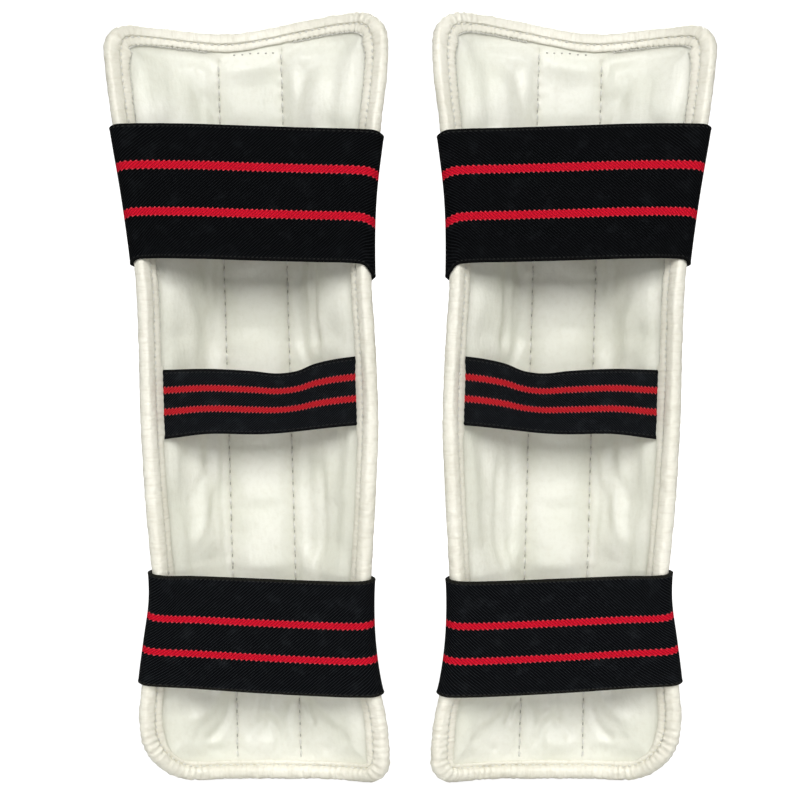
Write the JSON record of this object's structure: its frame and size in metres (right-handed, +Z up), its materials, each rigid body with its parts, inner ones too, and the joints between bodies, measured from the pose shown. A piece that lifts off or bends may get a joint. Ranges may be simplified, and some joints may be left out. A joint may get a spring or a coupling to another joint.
{
  "type": "shin guards",
  "caption": "Padded shin guards: quilted leather troughs with rolled edges, held on the leg by red-striped black elastic straps across the open back.",
  "frame": {"origin": "on the floor, at the middle of the pair's footprint box, between the two guards", "axes": "+Z up the leg, +Y towards the padded front, -Y towards the straps across the open back, +X towards the right guard"},
  "size_m": [0.2998, 0.055, 0.3808],
  "materials": {
    "cover_leather": "satin",
    "lining_leather": "satin",
    "edging_leather": "satin",
    "foam": "matte",
    "elastic_webbing": "matte",
    "thread": "matte"
  },
  "bodies": {
    "left_shin": {"left_shin_cover": "cover_leather", "left_shin_foam": "foam", "left_shin_lining": "lining_leather", "left_shin_top_edging": "edging_leather", "left_shin_bottom_edging": "edging_leather", "left_outer_seam_thread": "thread", "left_inner_seam_thread": "thread"},
    "left_outer_wing": {"left_outer_wing_cover": "cover_leather", "left_outer_wing_foam": "foam", "left_outer_wing_lining": "lining_leather", "left_outer_wing_edging": "edging_leather", "left_calf_strap_outer_end": "elastic_webbing", "left_middle_strap_outer_end": "elastic_webbing", "left_ankle_strap_outer_end": "elastic_webbing"},
    "left_inner_wing": {"left_inner_wing_cover": "cover_leather", "left_inner_wing_foam": "foam", "left_inner_wing_lining": "lining_leather", "left_inner_wing_edging": "edging_leather", "left_calf_strap_inner_end": "elastic_webbing", "left_middle_strap_inner_end": "elastic_webbing", "left_ankle_strap_inner_end": "elastic_webbing"},
    "left_calf_strap": {"left_calf_strap_span": "elastic_webbing"},
    "left_middle_strap": {"left_middle_strap_span": "elastic_webbing"},
    "left_ankle_strap": {"left_ankle_strap_span": "elastic_webbing"},
    "right_shin": {"right_shin_cover": "cover_leather", "right_shin_foam": "foam", "right_shin_lining": "lining_leather", "right_shin_top_edging": "edging_leather", "right_shin_bottom_edging": "edging_leather", "right_outer_seam_thread": "thread", "right_inner_seam_thread": "thread"},
    "right_outer_wing": {"right_outer_wing_cover": "cover_leather", "right_outer_wing_foam": "foam", "right_outer_wing_lining": "lining_leather", "right_outer_wing_edging": "edging_leather", "right_calf_strap_outer_end": "elastic_webbing", "right_middle_strap_outer_end": "elastic_webbing", "right_ankle_strap_outer_end": "elastic_webbing"},
    "right_inner_wing": {"right_inner_wing_cover": "cover_leather", "right_inner_wing_foam": "foam", "right_inner_wing_lining": "lining_leather", "right_inner_wing_edging": "edging_leather", "right_calf_strap_inner_end": "elastic_webbing", "right_middle_strap_inner_end": "elastic_webbing", "right_ankle_strap_inner_end": "elastic_webbing"},
    "right_calf_strap": {"right_calf_strap_span": "elastic_webbing"},
    "right_middle_strap": {"right_middle_strap_span": "elastic_webbing"},
    "right_ankle_strap": {"right_ankle_strap_span": "elastic_webbing"}
  },
  "joints": [
    {"name": "left_outer_wing_flex", "type": "hinge", "parent": "left_shin", "child": "left_outer_wing", "pos_m": [-0.09108, 0.01575, 0.19], "axis": [0.0286, 0, -0.9996], "range_deg": [-5, 20], "stiffness_Nm_per_rad": 0.5},
    {"name": "left_inner_wing_flex", "type": "hinge", "parent": "left_shin", "child": "left_inner_wing", "pos_m": [-0.05958, 0.01575, 0.19], "axis": [-0.0286, 0, 0.9996], "range_deg": [-5, 20], "stiffness_Nm_per_rad": 0.5},
    {"name": "left_calf_strap_stretch", "type": "slide", "parent": "left_shin", "child": "left_calf_strap", "axis": [0, -1, 0], "range_m": [0, 0.07], "stiffness_N_per_m": 250},
    {"name": "left_middle_strap_stretch", "type": "slide", "parent": "left_shin", "child": "left_middle_strap", "axis": [0, -1, 0], "range_m": [0, 0.06], "stiffness_N_per_m": 180},
    {"name": "left_ankle_strap_stretch", "type": "slide", "parent": "left_shin", "child": "left_ankle_strap", "axis": [0, -1, 0], "range_m": [0, 0.045], "stiffness_N_per_m": 250},
    {"name": "right_outer_wing_flex", "type": "hinge", "parent": "right_shin", "child": "right_outer_wing", "pos_m": [0.09108, 0.01575, 0.19], "axis": [0.0286, 0, 0.9996], "range_deg": [-5, 20], "stiffness_Nm_per_rad": 0.5},
    {"name": "right_inner_wing_flex", "type": "hinge", "parent": "right_shin", "child": "right_inner_wing", "pos_m": [0.05958, 0.01575, 0.19], "axis": [-0.0286, 0, -0.9996], "range_deg": [-5, 20], "stiffness_Nm_per_rad": 0.5},
    {"name": "right_calf_strap_stretch", "type": "slide", "parent": "right_shin", "child": "right_calf_strap", "axis": [0, -1, 0], "range_m": [0, 0.07], "stiffness_N_per_m": 250},
    {"name": "right_middle_strap_stretch", "type": "slide", "parent": "right_shin", "child": "right_middle_strap", "axis": [0, -1, 0], "range_m": [0, 0.06], "stiffness_N_per_m": 180},
    {"name": "right_ankle_strap_stretch", "type": "slide", "parent": "right_shin", "child": "right_ankle_strap", "axis": [0, -1, 0], "range_m": [0, 0.045], "stiffness_N_per_m": 250},
    {"name": "right_guard_place", "type": "slide", "parent": "left_shin", "child": "right_shin", "axis": [1, 0, 0], "range_m": [0, 0.15]}
  ]
}
